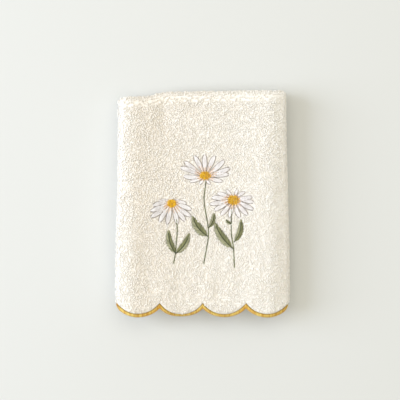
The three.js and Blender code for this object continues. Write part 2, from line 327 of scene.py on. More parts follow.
def finish_material(tree, surface):
    add_node(tree, "ShaderNodeOutputMaterial", {"Surface": surface})


def mesh_object(name, points, faces, smooth=True):
    """A new object at the origin, with its place in its mesh."""
    mesh = bpy.data.meshes.new(name)
    mesh.from_pydata(np.asarray(points).reshape(-1, 3).tolist(), [], faces)
    mesh.polygons.foreach_set("use_smooth", [smooth] * len(mesh.polygons))
    mesh.update()
    piece = bpy.data.objects.new(name, mesh)
    bpy.context.scene.collection.objects.link(piece)
    return piece


def grid_faces(rows, columns, start=0, turned=False):
    """Four-sided faces over a grid of points, numbered row by row."""
    corner = start + np.arange(rows - 1)[:, None] * columns + np.arange(columns - 1)[None, :]
    quads = np.stack([corner, corner + 1, corner + columns + 1, corner + columns], axis=-1)
    quads = quads.reshape(-1, 4)
    return (quads[:, ::-1] if turned else quads).tolist()


def triangles(piece):
    return sum(len(face.vertices) - 2 for face in piece.data.polygons)


print(f"the grey #808080 is {linear('#808080')[0]:.3f} in linear light")

# %% [markdown]
# ## Terry cotton
#
# Terry is plain cotton weave with loops drawn out of it on both sides. Undyed cotton is matt and
# scatters light widely, so the shader is rough and has a faint sheen from stray fibres. Its cream
# drifts over the cloth, and from one clump of loops to the next. A soft band beside the left fold
# has painted shade: it is tinted a darker cream to stand for the shade that falls there, and the
# rest is nearly white. The loops are real geometry further down. The ground cloth below them only
# needs a bump at their spacing.

# %% Terry cotton material
# Real loops stand about 1.5 mm apart. Colours drift in patches 2 cm wide, which is 45 to the metre.
LOOP_SPACING = 1.5
DRIFT_SCALE = 45.0
COTTON_WHITE = "#fbfaf7"
COTTON_LIGHT = "#f9f6f1"
COTTON_SHADE = "#f3efe7"
CLUMP_SIZE = 1.8
CLUMP_SHARE, TONE_SHARE, SHADE_OFFSET = 0.7, 0.4, -0.1
SHADE_AT, LIGHT_AT, WHITE_AT = 0.15, 0.42, 0.75
# Painted shade: a band from x -80 to 65 mm, darkest at 0.12 of the way, is tinted a darker cream for the
# shade there.
PAINTED_SHADE_TINT = "#f9f6f2"
PAINTED_SHADE_FROM, PAINTED_SHADE_TO, PAINTED_SHADE_PEAK = -80, 65, 0.12


def drift_share(tree, place):
    """A share that changes slowly over the cloth."""
    inputs = {"Vector": place, "Scale": DRIFT_SCALE, "Detail": 3.0}
    return add_node(tree, "ShaderNodeTexNoise", inputs).outputs["Fac"]


def loop_share(tree, place):
    """A share that changes from clump to clump of loops, and with each loop's own tone."""
    inputs = {"Vector": place, "Scale": 1 / (CLUMP_SIZE * MM), "Detail": 1.0}
    clump = add_node(tree, "ShaderNodeTexNoise", inputs)
    clumped = add_node(
        tree,
        "ShaderNodeMath",
        {0: clump.outputs["Fac"], 1: CLUMP_SHARE, 2: SHADE_OFFSET},
        operation="MULTIPLY_ADD",
    )
    tone = add_node(tree, "ShaderNodeAttribute", attribute_name="tone")
    toned = add_node(
        tree,
        "ShaderNodeMath",
        {0: tone.outputs["Fac"], 1: TONE_SHARE, 2: clumped.outputs[0]},
        operation="MULTIPLY_ADD",
    )
    return toned.outputs[0]


def painted_shade_band(tree, place):
    """Painted shade: white that turns to a darker cream in a soft band beside the left fold, where shade
    falls.
    """
    sideways = add_node(tree, "ShaderNodeSeparateXYZ", {"Vector": place}).outputs["X"]
    side_share = add_node(
        tree,
        "ShaderNodeMapRange",
        {"Value": sideways, "From Min": PAINTED_SHADE_FROM * MM, "From Max": PAINTED_SHADE_TO * MM},
    )
    painted_shade_ramp = add_node(tree, "ShaderNodeValToRGB", {"Fac": side_share.outputs["Result"]})
    for end in painted_shade_ramp.color_ramp.elements:
        end.color = (1, 1, 1, 1)
    painted_shade_ramp.color_ramp.elements.new(PAINTED_SHADE_PEAK).color = linear(PAINTED_SHADE_TINT)
    return painted_shade_ramp.outputs["Color"]


def weave_bump(tree, place):
    """Normals with a small dent between the loops' roots."""
    cells = add_node(
        tree,
        "ShaderNodeTexVoronoi",
        {"Vector": place, "Scale": 1 / (LOOP_SPACING * MM), "Randomness": 0.9},
    )
    inputs = {"Height": cells.outputs["Distance"], "Strength": 0.6, "Distance": 0.4 * MM}
    return add_node(tree, "ShaderNodeBump", inputs).outputs["Normal"]


def terry_material(name, by_loop):
    """Cotton whose colour drifts over the cloth, or on the pile from loop to loop, with painted shade by
    the left fold.
    """
    material, tree = new_material(name)
    place = add_node(tree, "ShaderNodeTexCoord").outputs["Object"]
    share = loop_share(tree, place) if by_loop else drift_share(tree, place)
    ramp = add_node(tree, "ShaderNodeValToRGB", {"Fac": share})
    shades = ramp.color_ramp.elements
    shades[0].position, shades[0].color = SHADE_AT, linear(COTTON_SHADE)
    shades[1].position, shades[1].color = WHITE_AT, linear(COTTON_WHITE)
    shades.new(LIGHT_AT).color = linear(COTTON_LIGHT)
    # Painted shade: the band's darker cream is multiplied into the cotton's colour.
    painted_shade_colour = add_node(
        tree,
        "ShaderNodeVectorMath",
        {0: ramp.outputs["Color"], 1: painted_shade_band(tree, place)},
        operation="MULTIPLY",
    )
    shader = add_node(
        tree,
        "ShaderNodeBsdfPrincipled",
        {
            "Base Color": painted_shade_colour.outputs["Vector"],
            "Roughness": 0.92,
            "Specular IOR Level": 0.2,
            "Sheen Weight": 0.25,
            "Sheen Roughness": 0.5,
        },
    )
    if not by_loop:
        tree.links.new(weave_bump(tree, place), shader.inputs["Normal"])
    finish_material(tree, shader.outputs["BSDF"])
    return material


ground_cotton = terry_material("Terry cotton ground weave", by_loop=False)
loop_cotton = terry_material("Terry cotton loops", by_loop=True)
print("cotton:", ground_cotton.name, "and", loop_cotton.name)

# %% [markdown]
# ## The folded cloth
#
# The cloth itself is one closed sheet: its right side and its wrong side are two grids of points on
# the fold's map, a cloth's thickness apart, joined round their borders. A Solidify modifier could
# give the thickness too, but here the map already knows both sides, so no corner is guessed.
# The sheet is thinner than its solid, because the loops below fill the rest.

# %% The folded cloth
SHEET_HALF = 1.0
SCALLOPED_EDGE_HALF, PLAIN_EDGE_HALF = 0.6, 0.5
PLAIN_HEM_WIDTH = 12
PLAIN_HEM_ROUND = 0.5
HEM_SWELL, HEM_RAMP = 0.2, 2
SEAM_DENT, SEAM_FROM_FOLD, SEAM_WIDTH = 0.25, 3, 0.9
HEM_ROWS = 8
# Spacings of the points, finer where the cloth shows or turns.
HIDDEN_COLUMN, HIDDEN_ROW, TOP_ROW, HEM_ROW = 3.2, 9, 4, 1.5
SCALLOP_COLUMNS, LEFT_TURN_COLUMNS, RIGHT_TURN_COLUMNS, FOLD_ROWS = 16, 8, 10, 10


def places(*stretches):
    """Places along a line, for stretches of (start, end, spacing) that follow each other."""
    parts = [
        np.linspace(start, end, max(2, round(abs(end - start) / spacing) + 1))[:-1]
        for start, end, spacing in stretches
    ]
    return np.concatenate(parts + [[stretches[-1][1]]])


sheet_u = places(
    (INNER_SELVEDGE, LEFT_START, HIDDEN_COLUMN),
    (LEFT_START, LEFT_CREASE_X, LEFT_RADIUS * math.pi / LEFT_TURN_COLUMNS),
    (LEFT_CREASE_X, RIGHT_CREASE_X, SCALLOP_WIDTH / SCALLOP_COLUMNS),
    (RIGHT_CREASE_X, RIGHT_END, RIGHT_RADIUS * math.pi / RIGHT_TURN_COLUMNS),
    (RIGHT_END, BACK_SELVEDGE, HIDDEN_COLUMN),
)
hem_fold = PLAIN_END - PLAIN_HEM_WIDTH
stretches = []
for packet in range(PACKETS - 1):
    begin = packet * PERIOD
    stretches.append((begin, begin + RUN, TOP_ROW if packet == 0 else HIDDEN_ROW))
    stretches.append((begin + RUN, begin + PERIOD, ARC / FOLD_ROWS))
stretches += [(LAST_PACKET_S, hem_fold, HIDDEN_ROW), (hem_fold, PLAIN_END, HEM_ROW)]
body_s = np.append(places(*stretches), PLAIN_END + PLAIN_HEM_ROUND)
sheet_s = np.concatenate(
    [hem_s(sheet_u)[None, :] * (1 - row / HEM_ROWS) for row in range(HEM_ROWS)]
    + [np.repeat(body_s[:, None], len(sheet_u), axis=1)]
)
half = np.full(sheet_s.shape, SHEET_HALF)
from_end = PLAIN_END - sheet_s
from_seam = from_end - PLAIN_HEM_WIDTH + SEAM_FROM_FOLD
half += HEM_SWELL * smooth_step(from_end, PLAIN_HEM_WIDTH, PLAIN_HEM_WIDTH - HEM_RAMP)
half -= SEAM_DENT * np.exp(-((from_seam / SEAM_WIDTH) ** 2))
half[-1] = PLAIN_EDGE_HALF
half[0] = SCALLOPED_EDGE_HALF
print(f"{len(sheet_u)} columns across, {len(sheet_s)} rows along")

# %% Closing the sheet round its borders
rows, columns = sheet_s.shape
count = rows * columns
face_points = folded(sheet_u[None, :], sheet_s, half)
back_points = folded(sheet_u[None, :], sheet_s, -half)
number = np.arange(count).reshape(rows, columns)
border = np.concatenate([number[0], number[1:, -1], number[-1, -2::-1], number[-2:0:-1, 0]])
following = np.roll(border, -1)
wall = np.stack([border, border + count, following + count, following], axis=-1)
sheet = mesh_object(
    "towel_sheet",
    np.concatenate([face_points.reshape(-1, 3), back_points.reshape(-1, 3)]),
    grid_faces(rows, columns) + grid_faces(rows, columns, start=count, turned=True) + wall.tolist(),
)
sheet.data.materials.append(ground_cotton)
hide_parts("towel_cloth")
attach(sheet, "root")
print(f"sheet: {rows} rows of {columns} points, {triangles(sheet)} triangles")

# %% [markdown]
# ## What is sewn or woven again and again
#
# Thousands of loops and stitches differ only in where they sit, which way they run and how big they
# are. So each is made once, as a small unit, and one Geometry Nodes tree sets it on points that
# carry three attributes: the way the cloth faces, the way the thread runs, and its size.
# A little random lean and size, from a fixed seed, keeps them from looking stamped.
# The tree stores a random tone for each, for its material, and ends in real geometry.

# %% The tree that sets a unit on points
SIZE_SEED_STEP, TONE_SEED_STEP = 101.0, 202.0


def set_on_points_tree():
    tree = bpy.data.node_groups.new("Set unit on points", "GeometryNodeTree")
    tree.interface.new_socket("Points", in_out="INPUT", socket_type="NodeSocketGeometry")
    for name, kind in [
        ("Unit", "Object"),
        ("Lean", "Vector"),
        ("Size spread", "Float"),
        ("Seed", "Int"),
        ("Finish", "Material"),
    ]:
        tree.interface.new_socket(name, in_out="INPUT", socket_type="NodeSocket" + kind)
    tree.interface.new_socket("Geometry", in_out="OUTPUT", socket_type="NodeSocketGeometry")
    given = add_node(tree, "NodeGroupInput").outputs

    def carried(name):
        node = add_node(tree, "GeometryNodeInputNamedAttribute", data_type="FLOAT_VECTOR")
        node.inputs["Name"].default_value = name
        return node.outputs["Attribute"]

    unit = add_node(tree, "GeometryNodeObjectInfo", {"Object": given["Unit"]})
    frame_turn = add_node(
        tree,
        "FunctionNodeAxesToRotation",
        {"Primary Axis": carried("facing"), "Secondary Axis": carried("runs")},
        primary_axis="Z",
        secondary_axis="X",
    )
    lean_low = add_node(
        tree, "ShaderNodeVectorMath", {0: given["Lean"], "Scale": -1.0}, operation="SCALE"
    )
    lean = add_node(
        tree,
        "FunctionNodeRandomValue",
        {0: lean_low.outputs["Vector"], 1: given["Lean"], "Seed": given["Seed"]},
        data_type="FLOAT_VECTOR",
    )
    lean_turn = add_node(tree, "FunctionNodeEulerToRotation", {"Euler": lean.outputs["Value"]})
    turn = add_node(
        tree,
        "FunctionNodeRotateRotation",
        {"Rotation": frame_turn.outputs["Rotation"], "Rotate By": lean_turn.outputs["Rotation"]},
        rotation_space="LOCAL",
    )
    least = add_node(tree, "ShaderNodeMath", {0: 1.0, 1: given["Size spread"]}, operation="SUBTRACT")
    most = add_node(tree, "ShaderNodeMath", {0: 1.0, 1: given["Size spread"]}, operation="ADD")
    size_seed = add_node(
        tree, "ShaderNodeMath", {0: given["Seed"], 1: SIZE_SEED_STEP}, operation="ADD"
    )
    size_change = add_node(
        tree,
        "FunctionNodeRandomValue",
        {2: least.outputs[0], 3: most.outputs[0], "Seed": size_seed.outputs[0]},
        data_type="FLOAT",
    )
    size = add_node(
        tree,
        "ShaderNodeVectorMath",
        {0: carried("size"), "Scale": size_change.outputs[1]},
        operation="SCALE",
    )
    placed = add_node(
        tree,
        "GeometryNodeInstanceOnPoints",
        {
            "Points": given["Points"],
            "Instance": unit.outputs["Geometry"],
            "Rotation": turn.outputs["Rotation"],
            "Scale": size.outputs["Vector"],
        },
    )
    tone_seed = add_node(
        tree, "ShaderNodeMath", {0: given["Seed"], 1: TONE_SEED_STEP}, operation="ADD"
    )
    tone = add_node(
        tree,
        "FunctionNodeRandomValue",
        {2: 0.0, 3: 1.0, "Seed": tone_seed.outputs[0]},
        data_type="FLOAT",
    )
    toned = add_node(
        tree,
        "GeometryNodeStoreNamedAttribute",
        {"Geometry": placed.outputs["Instances"], "Name": "tone", "Value": tone.outputs[1]},
        data_type="FLOAT",
        domain="INSTANCE",
    )
    real = add_node(tree, "GeometryNodeRealizeInstances", {"Geometry": toned.outputs["Geometry"]})
    finished = add_node(
        tree,
        "GeometryNodeSetMaterial",
        {"Geometry": real.outputs["Geometry"], "Material": given["Finish"]},
    )
    add_node(tree, "NodeGroupOutput", {"Geometry": finished.outputs["Geometry"]})
    return tree


set_on_points = set_on_points_tree()
print(f"{set_on_points.name}: {len(set_on_points.nodes)} nodes")

# %% From points to a plain piece
CARRIED = ("facing", "runs", "size")


def sewn_piece(name, points, unit, finish, lean, spread, seed):
    """A piece of units set on points, given as arrays of place, facing, runs and size."""
    host = mesh_object(name + "_points", points["place"], [])
    for key in CARRIED:
        attribute = host.data.attributes.new(key, "FLOAT_VECTOR", "POINT")
        attribute.data.foreach_set("vector", np.asarray(points[key], np.float32).ravel())
    modifier = host.modifiers.new("Set", "NODES")
    modifier.node_group = set_on_points
    given = {"Unit": unit, "Lean": lean, "Size spread": spread, "Seed": seed, "Finish": finish}
    for item in set_on_points.interface.items_tree:
        if item.in_out == "INPUT" and item.name in given:
            modifier[item.identifier] = given[item.name]
    host.data.update()
    depsgraph = bpy.context.evaluated_depsgraph_get()
    mesh = bpy.data.meshes.new_from_object(
        host.evaluated_get(depsgraph), preserve_all_data_layers=True, depsgraph=depsgraph
    )
    bpy.data.objects.remove(host)
    mesh.name = name
    for key in CARRIED:
        if key in mesh.attributes:
            mesh.attributes.remove(mesh.attributes[key])
    piece = bpy.data.objects.new(name, mesh)
    bpy.context.scene.collection.objects.link(piece)
    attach(piece, "root")
    print(f"{name}: {len(points['place'])} units, {triangles(piece)} triangles")
    return piece


# %% Units of thread
def thread_unit(name, path, radii, sides):
    """A short piece of thread round a path of points. Its UV map runs along it and round it."""
    path = np.asarray(path, float)
    radii = np.asarray(radii, float)
    turns = 2 * np.pi * (np.arange(sides) + 0.5) / sides
    tangent = np.gradient(path, axis=0)
    tangent /= np.linalg.norm(tangent, axis=1, keepdims=True)
    side = np.array([0.0, 1.0, 0.0])
    up = np.cross(side, tangent)
    rings = path[:, None] + radii[:, None, None] * (
        np.cos(turns)[None, :, None] * side + np.sin(turns)[None, :, None] * up[:, None]
    )
    faces = []
    for ring in range(len(path) - 1):
        for k in range(sides):
            following = (k + 1) % sides
            near, far = ring * sides, (ring + 1) * sides
            faces.append((near + k, far + k, far + following, near + following))
    last = (len(path) - 1) * sides
    faces += [tuple(range(sides)), tuple(last + k for k in reversed(range(sides)))]
    unit = mesh_object(name, rings, faces)
    uv = unit.data.uv_layers.new(name="ply")
    share = np.linspace(0, 1, len(path))
    for face, polygon in zip(faces, unit.data.polygons):
        closes_ring = len(face) == 4 and face[0] % sides == sides - 1
        for corner, vertex in zip(polygon.loop_indices, face):
            ring, k = divmod(vertex, sides)
            round_share = 1 if closes_ring and k == 0 else k / sides
            uv.data[corner].uv = (share[ring], round_share)
    return unit


STITCH_PATH = [(-0.5, 0, -0.25), (-0.3, 0, 0.2), (0.3, 0, 0.2), (0.5, 0, -0.25)]
stitch_unit = thread_unit("stitch_unit", STITCH_PATH, [0.3, 0.5, 0.5, 0.3], sides=5)
LOOP_PATH = [(-0.28, 0, -0.15), (-0.55, 0, 0.5), (0, 0, 1.0), (0.55, 0, 0.5), (0.28, 0, -0.15)]
loop_unit = thread_unit("loop_unit", LOOP_PATH, [0.26, 0.3, 0.32, 0.3, 0.26], sides=4)
WRAP_TURNS = np.radians(np.linspace(170, -170, 8))
WRAP_PATH = [(0.5 * math.cos(turn), 0, 0.5 * math.sin(turn)) for turn in WRAP_TURNS]
WRAP_THREAD = 0.1
wrap_unit = thread_unit("wrap_unit", WRAP_PATH, [WRAP_THREAD] * len(WRAP_PATH), sides=3)
KNOT_RINGS = [(0, 0, -0.3), (0, 0, 0.1), (0, 0, 0.4), (0, 0, 0.5)]
knot_unit = thread_unit("knot_unit", KNOT_RINGS, [0.5, 0.5, 0.3, 0.02], sides=6)
units = (stitch_unit, loop_unit, wrap_unit, knot_unit)
print("triangles a unit:", {unit.name: triangles(unit) for unit in units})

# %% [markdown]
# ## Embroidery thread
#
# Embroidery thread is rayon or mercerised cotton: smooth fibres twisted together, so it shines
# softly, more along the thread than across it. Each stitch has its own UV map, and slanting lines
# on it give the twist. Its tone attribute shifts the colour a little from stitch to stitch.

# %% Embroidery thread material
PLY_TURNS = 5
PLY_SLANT_DEGREES = 28


def thread_material(name, light, dark, roughness=0.5):
    material, tree = new_material(name)
    tone = add_node(tree, "ShaderNodeAttribute", attribute_name="tone")
    ramp = add_node(tree, "ShaderNodeValToRGB", {"Fac": tone.outputs["Fac"]})
    ramp.color_ramp.elements[0].color = linear(dark)
    ramp.color_ramp.elements[1].color = linear(light)
    uv = add_node(tree, "ShaderNodeUVMap", uv_map="ply")
    slant = add_node(
        tree,
        "ShaderNodeMapping",
        {"Vector": uv.outputs["UV"], "Rotation": (0, 0, math.radians(PLY_SLANT_DEGREES))},
    )
    twist = add_node(
        tree,
        "ShaderNodeTexWave",
        {"Vector": slant.outputs["Vector"], "Scale": PLY_TURNS / 2},
        bands_direction="X",
    )
    bump = add_node(
        tree,
        "ShaderNodeBump",
        {"Height": twist.outputs["Fac"], "Strength": 0.5, "Distance": 0.1 * MM},
    )
    shader = add_node(
        tree,
        "ShaderNodeBsdfPrincipled",
        {
            "Base Color": ramp.outputs["Color"],
            "Normal": bump.outputs["Normal"],
            "Roughness": roughness,
            "Specular IOR Level": 0.4,
            "Sheen Weight": 0.15,
        },
    )
    finish_material(tree, shader.outputs["BSDF"])
    return material


gold_thread = thread_material("Gold rayon edging thread", "#ffe987", "#d89c24", roughness=0.38)
white_thread = thread_material("White rayon thread", "#f8f6f7", "#e3dedd")
taupe_thread = thread_material("Taupe rayon thread", "#aea299", "#81756d", roughness=0.6)
yolk_thread = thread_material("Yolk yellow rayon thread", "#f8ce2c", "#cf9614")
amber_thread = thread_material("Amber rayon thread", "#dba765", "#a8743a", roughness=0.6)
sage_thread = thread_material("Sage green rayon thread", "#b6b495", "#7a7d5d")
moss_thread = thread_material("Moss green rayon thread", "#8f9164", "#5c5e3c")
stem_thread = thread_material("Leaf green rayon thread", "#6b7438", "#434a22")
olive_thread = thread_material("Olive green rayon thread", "#414b2d", "#29321b", roughness=0.6)
petal_threads = (white_thread, taupe_thread, amber_thread, yolk_thread)
leaf_threads = (sage_thread, moss_thread, stem_thread, olive_thread)
print("flowers in", [thread.name for thread in petal_threads])
print("leaves in", [thread.name for thread in leaf_threads])

# %% [markdown]
# ## Gold edging
#
# The scalloped end is cut, so a machine binds it with satin stitch: rayon thread laid side by side
# over the edge, as wide as the binding and half a millimetre apart. Under the stitches a finer bead
# stands for the filling cord. Both follow each scallop's arc, at a set distance outside the cloth.

# %% Stitches of the gold edging
STITCH_PITCH = 0.5
STITCH_TUCK = 0.35
WRAP_LENGTH = 1 + 2 * WRAP_THREAD
WRAP_BREADTH, WRAP_HEIGHT = 3.0, 1.9


def edge_place(scallop, share, outside, height):
    """A place beside one scallop's edge: share runs from notch to notch, outside is in mm."""
    radius = SCALLOP_RADIUS + outside
    reach = np.arcsin(SCALLOP_WIDTH / 2 / radius)
    turn = (2 * share - 1) * reach
    u = (scallop + 0.5) * SCALLOP_WIDTH + radius * np.sin(turn)
    s = TIP_Y + SCALLOP_RADIUS - radius * np.cos(turn) - FRONT_CREASE_Y
    return folded(u, s, height)


first_scallop = INNER_SELVEDGE / SCALLOP_WIDTH
last_scallop = BACK_SELVEDGE / SCALLOP_WIDTH
scallop_arc = 2 * SCALLOP_RADIUS * math.asin(SCALLOP_WIDTH / 2 / SCALLOP_RADIUS)
per_scallop = round(scallop_arc / STITCH_PITCH)
first_stitch = math.ceil(first_scallop * per_scallop)
last_stitch = math.floor(last_scallop * per_scallop)
scallop, share = np.divmod((np.arange(first_stitch, last_stitch) + 0.5) / per_scallop, 1)
inner = edge_place(scallop, share, STITCH_GAP - STITCH_TUCK, 0)
outer = edge_place(scallop, share, STITCH_GAP + EDGING_WIDTH, 0)
raised = edge_place(scallop, share, STITCH_GAP + EDGING_WIDTH / 2, 1)
middle = (inner + outer) / 2
edging = {
    "place": middle,
    "facing": raised - middle,
    "runs": outer - inner,
    "size": np.stack(
        [
            np.linalg.norm(outer - inner, axis=1) / WRAP_LENGTH,
            np.full(len(middle), WRAP_BREADTH * MM),
            np.full(len(middle), WRAP_HEIGHT * MM),
        ],
        axis=-1,
    ),
}
stitches = sewn_piece(
    "edging_stitches", edging, wrap_unit, gold_thread, lean=(0.03, 0.0, 0.05), spread=0.02, seed=3
)

# %% Cord of the gold edging: rings of points along the same line
CORD_STEPS = 12
CORD_SIDES = 8
CORD_INSET = 0.35
CORD_HALF_HEIGHT = 0.75
SHORT_OF_END = 1e-6

whole_scallops = np.arange(math.floor(first_scallop), math.ceil(last_scallop))
ring_shares = np.linspace(0, 1, CORD_STEPS + 1)[:-1]
cord_place = (whole_scallops[:, None] + ring_shares[None, :]).ravel()
keep = (cord_place >= first_scallop) & (cord_place <= last_scallop)
cord_place = np.concatenate([[first_scallop], cord_place[keep], [last_scallop - SHORT_OF_END]])
cord_scallop, cord_share = np.divmod(cord_place, 1)
round_turn = 2 * np.pi * (np.arange(CORD_SIDES) + 0.5) / CORD_SIDES
cord_half_width = EDGING_WIDTH / 2 - CORD_INSET
cord_outside = STITCH_GAP + EDGING_WIDTH / 2 + cord_half_width * np.cos(round_turn)
cord_height = CORD_HALF_HEIGHT * np.sin(round_turn)
cord_rings = edge_place(
    cord_scallop[:, None], cord_share[:, None], cord_outside[None, :], cord_height[None, :]
)
rings = len(cord_rings)
cord_faces = []
for near in range(0, (rings - 1) * CORD_SIDES, CORD_SIDES):
    far = near + CORD_SIDES
    for k in range(CORD_SIDES):
        following = (k + 1) % CORD_SIDES
        cord_faces.append((near + k, near + following, far + following, far + k))
last = (rings - 1) * CORD_SIDES
cord_faces.append(tuple(reversed(range(CORD_SIDES))))
cord_faces.append(tuple(last + k for k in range(CORD_SIDES)))
cord = mesh_object("edging_cord", cord_rings, cord_faces)
cord.data.materials.append(gold_thread)
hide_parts("scallop_binding")
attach(cord, "root")
print(f"edging: {len(middle)} stitches over {rings} rings of cord")

# %% [markdown]
# ## Embroidered daisies
#
# Embroidery is only stitches: straight lengths of thread between two holes. So each flower is drawn
# as lists of stitches on the flat view of the front, in millimetres from its middle, and every list
# is then laid on the cloth. The flowers are ordinary daisies, from formulas of their own:
#
# - petals are filled with lanes of lengthwise stitches, outlined with a darker thread, and shaded
#   near the middle with amber stitches;
# - leaves are satin stitch, slanting out from a midrib, with one half darker than the other;
# - stems are running stitch, a little slanted, with short gaps between the stitches;
# - middles are packed knots.

# %% Laying stitches on the cloth
# Seating the map moved the cloth a little. The shift keeps the flowers at their place on it.
EMBROIDERY_LIFT = 0.75
EMBROIDERY_SHIFT = (-1.65, 0.4)
LAYING_STEPS = 5
draw = np.random.default_rng(12)


def on_cloth(x, y, height):
    """The cloth's place, and its way up, under points x and y of the top view."""
    x = np.array(x, float) + EMBROIDERY_SHIFT[0]
    y = np.array(y, float) + EMBROIDERY_SHIFT[1]
    u, s = x, y - FRONT_CREASE_Y
    for _ in range(LAYING_STEPS):
        found = fold(u, s, height) + SEAT
        u, s = u + x - found[..., 0], s + y - found[..., 1]
    place = folded(u, s, height)
    return place, folded(u, s, height + 1) - place


def stitch_points(stitches, width, loft, height):
    """Points for stitches given as rows of x0, y0, x1, y1 in the top view."""
    rows = np.asarray(stitches, float)
    ends = [on_cloth(rows[:, i], rows[:, i + 1], height) for i in (0, 2)]
    runs = ends[1][0] - ends[0][0]
    size = np.stack(
        [
            np.linalg.norm(runs, axis=1),
            np.full(len(rows), width * MM),
            np.full(len(rows), loft * MM),
        ],
        axis=-1,
    )
    return {
        "place": (ends[0][0] + ends[1][0]) / 2,
        "facing": ends[0][1] + ends[1][1],
        "runs": runs,
        "size": size,
    }


# %% Lines to sew along
BENT_LINE_POINTS = 9
WAY_STEP = 0.01


def bent_line(base, tip, bend):
    """Points from base to tip on a shallow bow, which stands out by a share of the length."""
    base, tip = np.array(base), np.array(tip)
    forward = tip - base
    sideways = np.array([-forward[1], forward[0]])
    shares = np.linspace(0, 1, BENT_LINE_POINTS)[:, None]
    return base + forward * shares + sideways * bend * np.sin(np.pi * shares)


def line_lengths(line):
    """The length of a line up to each of its points."""
    steps = np.linalg.norm(np.diff(line, axis=0), axis=1)
    return np.concatenate([[0], np.cumsum(steps)])


def line_at(line, share):
    """Points at shares of a line's length."""
    lengths = line_lengths(line)
    return np.stack([np.interp(share * lengths[-1], lengths, line[:, i]) for i in (0, 1)], axis=-1)


def beside_line(line, share, distance):
    """Points at shares of a line's length, set off to its left by a distance."""
    before = line_at(line, np.clip(share - WAY_STEP, 0, 1))
    after = line_at(line, np.clip(share + WAY_STEP, 0, 1))
    way = after - before
    way = way / np.linalg.norm(way, axis=-1, keepdims=True)
    left = np.stack([-way[:, 1], way[:, 0]], axis=-1)
    return line_at(line, share) + left * np.broadcast_to(distance, share.shape)[:, None]


def stitches_between(places, filled=1.0):
    """Stitches from each place towards the next, over a share of the way."""
    return [(*a, *(a + filled * (b - a))) for a, b in zip(places[:-1], places[1:])]


sample_line = bent_line((0, 0), (10, 0), 0.1)
print(f"a line bent by a tenth is {line_lengths(sample_line)[-1] / 10:.3f} of its straight length")

# %% Daisy petals
PETAL_LANES = 5
PETAL_STITCH = 4.6
LANES_REACH = 0.72
CUT_JITTER = 0.02
OUTLINE_STITCH = 2.4
OUTLINE_FILLED = 0.74
THROAT_FROM, THROAT_TO = 0.04, (0.22, 0.42)
BASE_ON_DISC = 0.8


def petal_half_width(share, widest):
    """Narrow at the middle of the flower, widest past half way, and round at the tip."""
    return widest * np.sin(0.9 * np.pi * np.clip(share, 0, 1) ** 1.35 + 0.15) ** 0.6


def petal(base, tip, bend, widest):
    """White lanes, a taupe outline and two amber stitches for one petal."""
    line = bent_line(base, tip, bend)
    length = line_lengths(line)[-1]
    fill, outline, throat = [], [], []
    for lane in range(PETAL_LANES):
        lane_share = (2 * lane / (PETAL_LANES - 1) - 1) * LANES_REACH
        begin, end = 0.02 + 0.06 * abs(lane_share), 0.97 - 0.12 * abs(lane_share)
        cuts = [begin]
        cut = begin + (0.45 if lane % 2 else 0.9) * PETAL_STITCH / length
        while cut < end - 0.1:
            cuts.append(cut + draw.uniform(-CUT_JITTER, CUT_JITTER))
            cut += PETAL_STITCH / length
        cuts = np.array(cuts + [end])
        lane_place = beside_line(line, cuts, lane_share * petal_half_width(cuts, widest))
        fill += stitches_between(lane_place)
    cuts = np.linspace(0.0, 1.0, max(4, round(length / OUTLINE_STITCH)))
    for side in (-1, 1):
        rim = beside_line(line, cuts, side * petal_half_width(cuts, widest))
        outline += stitches_between(rim, OUTLINE_FILLED)
    for aside in (-0.5, 0.5):
        cuts = np.array([THROAT_FROM, draw.uniform(*THROAT_TO)])
        throat += stitches_between(beside_line(line, cuts, aside * petal_half_width(cuts, widest)))
    return fill, outline, throat


def daisy(centre, disc, offset, reach, petals, first_turn, shortest=6.0):
    """Petals from the disc's rim to an ellipse set off from it, as a flower looks from one side."""
    found = ([], [], [])
    centre, disc, offset, reach = map(np.array, (centre, disc, offset, reach))
    for k in range(petals):
        turn = first_turn + 2 * np.pi * (k + draw.uniform(-0.12, 0.12)) / petals
        way = np.array([np.cos(turn), np.sin(turn)])
        tip = centre + offset + reach * way * draw.uniform(0.94, 1.04)
        base = centre + BASE_ON_DISC * disc * way
        length = np.linalg.norm(tip - base)
        if length < shortest:
            continue
        widest = np.clip(0.1 * length + 0.6, 1.5, 2.4)
        for stitches, more in zip(found, petal(base, tip, draw.uniform(-0.05, 0.05), widest)):
            stitches += more
    return found


print("a petal's width from base to tip:", np.round(petal_half_width(np.linspace(0, 1, 5), 1), 2))

# %% Leaves
LEAF_STITCH_PITCH = 0.62
LEAF_STITCH_SLANT = 0.13
LEAF_TOOTH_STITCHES = 4
LEAF_TOOTH_REACH, LEAF_TOOTH_DEPTH = 1.12, 0.4
MIDRIB_STITCH = 2.6


def leaf_half_width(share, widest):
    """Widest a little before half way, and nearly pointed at both ends."""
    return widest * np.sin(np.pi * share**0.9) ** 0.7 + 0.15


def leaf(base, tip, bend, widest):
    """Satin stitches slanting from the midrib to the leaf's edge, and the midrib's own stitches."""
    line = bent_line(base, tip, bend)
    length = line_lengths(line)[-1]
    halves = []
    starts = np.arange(0.06, 0.96, LEAF_STITCH_PITCH / length)
    tooth_share = (np.arange(len(starts)) % LEAF_TOOTH_STITCHES) / LEAF_TOOTH_STITCHES
    teeth = LEAF_TOOTH_REACH - LEAF_TOOTH_DEPTH * tooth_share
    ends = np.clip(starts + LEAF_STITCH_SLANT, 0, 1)
    for side in (-1, 1):
        reach = leaf_half_width(ends, widest) * teeth * draw.uniform(0.9, 1.05, len(starts))
        edge = beside_line(line, ends, side * reach)
        halves.append([(*a, *b) for a, b in zip(line_at(line, starts), edge)])
    cuts = np.linspace(0, 0.9, max(3, round(length / MIDRIB_STITCH)))
    return halves, stitches_between(line_at(line, cuts))


